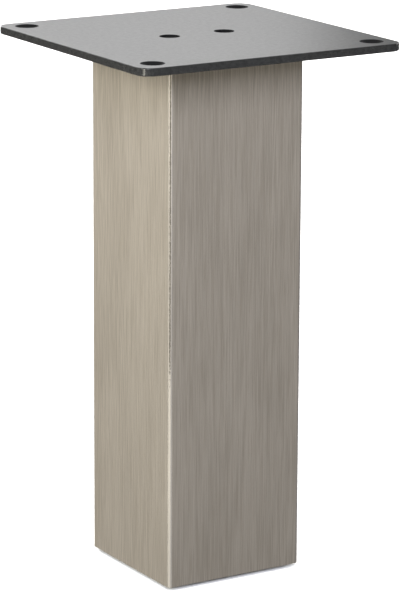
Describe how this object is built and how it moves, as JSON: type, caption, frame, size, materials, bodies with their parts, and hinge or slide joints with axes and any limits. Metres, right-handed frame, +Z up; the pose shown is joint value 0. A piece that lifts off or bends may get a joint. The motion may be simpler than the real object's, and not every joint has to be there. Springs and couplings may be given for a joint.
{
  "type": "counter support leg",
  "caption": "Short square post with a flat square mounting plate on top and a levelling foot hidden in its lower end; carries a raised counter or a heavy worktop.",
  "frame": {"origin": "on the floor, under the middle of the foot pad, with the foot screwed right in", "axes": "+Z up along the post; X along the line of the plate's two centre holes; Y across it"},
  "size_m": [0.15, 0.15, 0.277],
  "materials": {
    "black_powder_coat": "fine-textured black powder coat",
    "brushed_stainless": "brushed along the post",
    "plain_steel": "mill finish",
    "zinc_plated_steel": "bright zinc plate",
    "black_nylon": "moulded, satin"
  },
  "bodies": {
    "leg": {"mounting_plate": "black_powder_coat", "leg_tube": "brushed_stainless", "clinch_nuts": "zinc_plated_steel", "tube_cap": "plain_steel", "cap_washers": "zinc_plated_steel", "cap_screws": "zinc_plated_steel", "base_plate": "plain_steel", "threaded_bush": "zinc_plated_steel"},
    "pad": {"foot_pad": "black_nylon"},
    "stem": {"foot_stem": "zinc_plated_steel"}
  },
  "joints": [
    {"name": "foot_slide", "type": "slide", "parent": "leg", "child": "pad", "axis": [0, 0, -1], "range_m": [0, 0.02]},
    {"name": "stem_turn", "type": "hinge", "parent": "pad", "child": "stem", "pos_m": [0, 0, 0], "axis": [0, 0, -1], "range_deg": [0, 4800]}
  ],
  "couplings": [
    {"joint": "stem_turn", "follows": "foot_slide", "rad_per_m": 4188.8}
  ]
}
